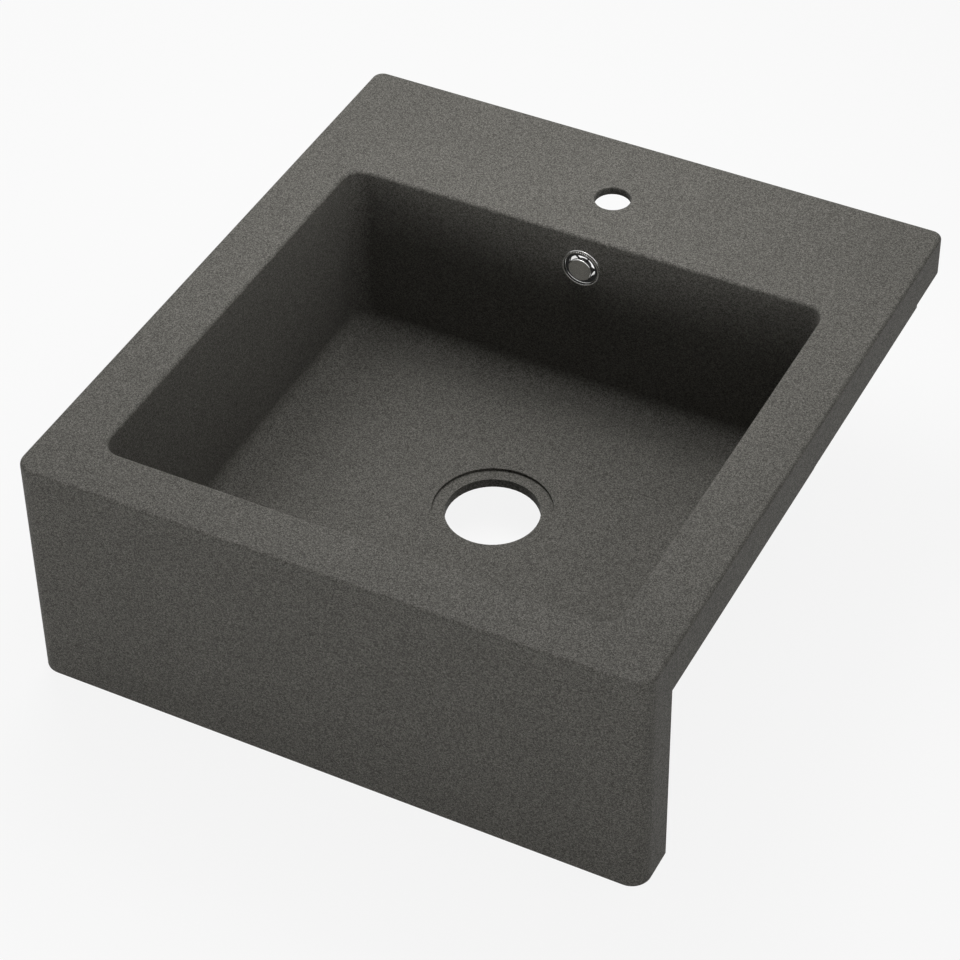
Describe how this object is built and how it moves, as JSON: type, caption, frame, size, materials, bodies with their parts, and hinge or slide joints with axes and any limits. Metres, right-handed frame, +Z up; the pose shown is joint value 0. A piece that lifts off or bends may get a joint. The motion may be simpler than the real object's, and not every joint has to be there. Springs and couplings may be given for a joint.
{
  "type": "apron-front sink",
  "caption": "Apron-front kitchen sink in dark stone composite: deep square bowl with waste outlet, tap deck behind it and a chromed overflow fitting in the rear wall.",
  "frame": {"origin": "under the middle of the outline, at the level of the apron's lower edge", "axes": "+Z up, from the apron's lower edge to the rim; +Y back, from the apron's face to the rear edge; +X to the right seen from the front"},
  "size_m": [0.6, 0.66, 0.244],
  "materials": {
    "stone_composite": "matt, fine grained cast quartz and resin",
    "chrome": "polished chrome plating",
    "dark_plastic": "fine grained moulded plastic",
    "seal_rubber": "smooth matt rubber",
    "nut_plastic": "moulded plastic"
  },
  "bodies": {
    "root": {"sink_body": "stone_composite", "overflow_ring": "chrome", "overflow_insert": "dark_plastic", "overflow_cap": "chrome", "overflow_seal": "seal_rubber", "overflow_back_nut": "nut_plastic"}
  },
  "joints": []
}
